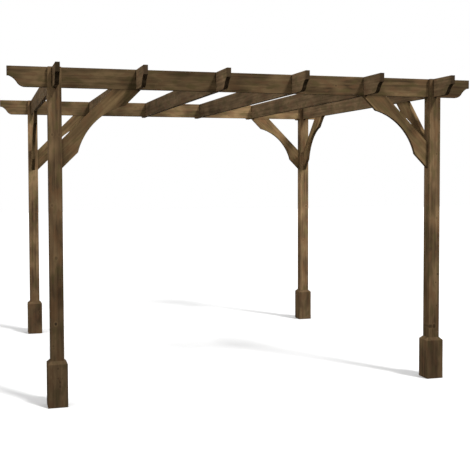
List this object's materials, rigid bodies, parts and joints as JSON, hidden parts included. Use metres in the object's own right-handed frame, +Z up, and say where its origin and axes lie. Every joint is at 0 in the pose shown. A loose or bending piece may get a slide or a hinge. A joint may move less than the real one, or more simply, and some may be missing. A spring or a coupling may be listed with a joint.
{
  "type": "wooden garden pergola",
  "caption": "Free-standing square timber pergola: clad square posts, arched corner braces, ogee-ended beams halved into crossing rafters, open roof.",
  "frame": {"origin": "on the ground, midway between the four posts", "axes": "+X along the two beams towards the right-hand posts, +Y along the rafters from front to back, +Z up"},
  "size_m": [3.65, 3.65, 2.425],
  "materials": {
    "post_timber": "planed softwood, brown stain",
    "beam_timber": "planed softwood, brown stain",
    "rafter_timber": "planed softwood, brown stain",
    "brace_timber": "planed softwood, brown stain",
    "foot_timber": "planed softwood, brown stain"
  },
  "bodies": {
    "root": {"front_beam": "beam_timber", "back_beam": "beam_timber", "rafter_1": "rafter_timber", "rafter_2": "rafter_timber", "rafter_3": "rafter_timber", "rafter_4": "rafter_timber", "rafter_5": "rafter_timber", "rafter_6": "rafter_timber", "front_left_post": "post_timber", "front_left_beam_brace": "brace_timber", "front_left_rafter_brace": "brace_timber", "front_left_foot_board_right": "foot_timber", "front_left_foot_board_back": "foot_timber", "front_left_foot_board_left": "foot_timber", "front_left_foot_board_front": "foot_timber", "front_right_post": "post_timber", "front_right_beam_brace": "brace_timber", "front_right_rafter_brace": "brace_timber", "front_right_foot_board_right": "foot_timber", "front_right_foot_board_back": "foot_timber", "front_right_foot_board_left": "foot_timber", "front_right_foot_board_front": "foot_timber", "back_left_post": "post_timber", "back_left_beam_brace": "brace_timber", "back_left_rafter_brace": "brace_timber", "back_left_foot_board_right": "foot_timber", "back_left_foot_board_back": "foot_timber", "back_left_foot_board_left": "foot_timber", "back_left_foot_board_front": "foot_timber", "back_right_post": "post_timber", "back_right_beam_brace": "brace_timber", "back_right_rafter_brace": "brace_timber", "back_right_foot_board_right": "foot_timber", "back_right_foot_board_back": "foot_timber", "back_right_foot_board_left": "foot_timber", "back_right_foot_board_front": "foot_timber"}
  },
  "joints": []
}
